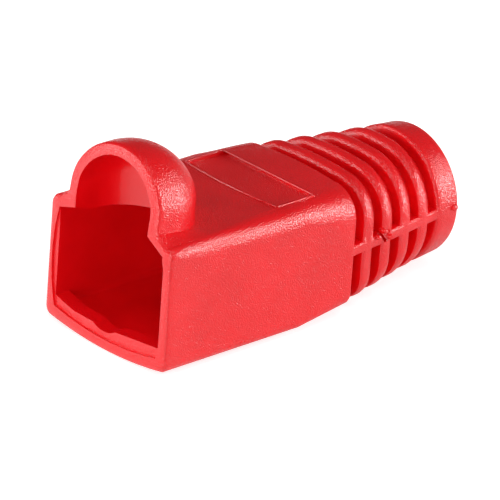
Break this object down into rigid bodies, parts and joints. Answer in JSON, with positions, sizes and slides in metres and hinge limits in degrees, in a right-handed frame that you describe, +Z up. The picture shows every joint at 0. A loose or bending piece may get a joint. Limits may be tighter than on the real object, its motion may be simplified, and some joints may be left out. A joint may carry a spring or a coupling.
{
  "type": "rj45 strain relief boot",
  "caption": "Moulded soft PVC boot for a modular plug: open square mouth, domed latch hood, bare label recess and a ribbed round tail with a bore for the cable.",
  "frame": {"origin": "on the surface that the boot rests on, under the middle of its length and width", "axes": "+Y along the cable from the mouth to the tail, +X across the boot, +Z up through the latch hood"},
  "size_m": [0.014, 0.033, 0.0173],
  "materials": {
    "red_pvc": "satin, with the fine pitted grain of a spark-eroded mould"
  },
  "bodies": {
    "root": {"boot": "red_pvc"}
  },
  "joints": []
}
